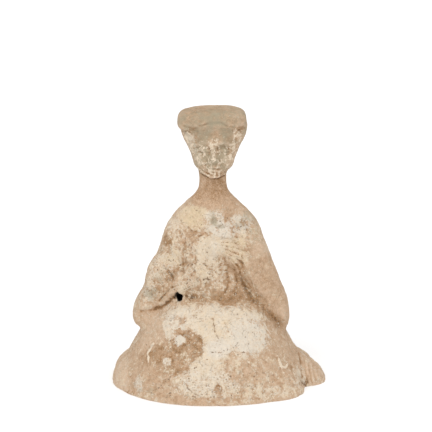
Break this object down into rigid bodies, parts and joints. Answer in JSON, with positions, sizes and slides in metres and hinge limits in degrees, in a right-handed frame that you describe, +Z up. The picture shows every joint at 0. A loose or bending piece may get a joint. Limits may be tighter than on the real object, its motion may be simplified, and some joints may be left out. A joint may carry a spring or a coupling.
{
  "type": "pottery musician figure",
  "caption": "Kneeling musician figure in painted earthenware, robe spread on the ground, one hand at the chest, a peg socket under the other forearm.",
  "frame": {"origin": "on the ground in the flat underside, below the neck", "axes": "+Z up the figure; the figure faces -Y, so its own right arm is on the -X side"},
  "size_m": [0.1462, 0.1115, 0.19],
  "materials": {
    "painted_earthenware": "matt, low-fired, with worn white slip and burial earth"
  },
  "bodies": {
    "root": {"musician_figure": "painted_earthenware"}
  },
  "joints": []
}
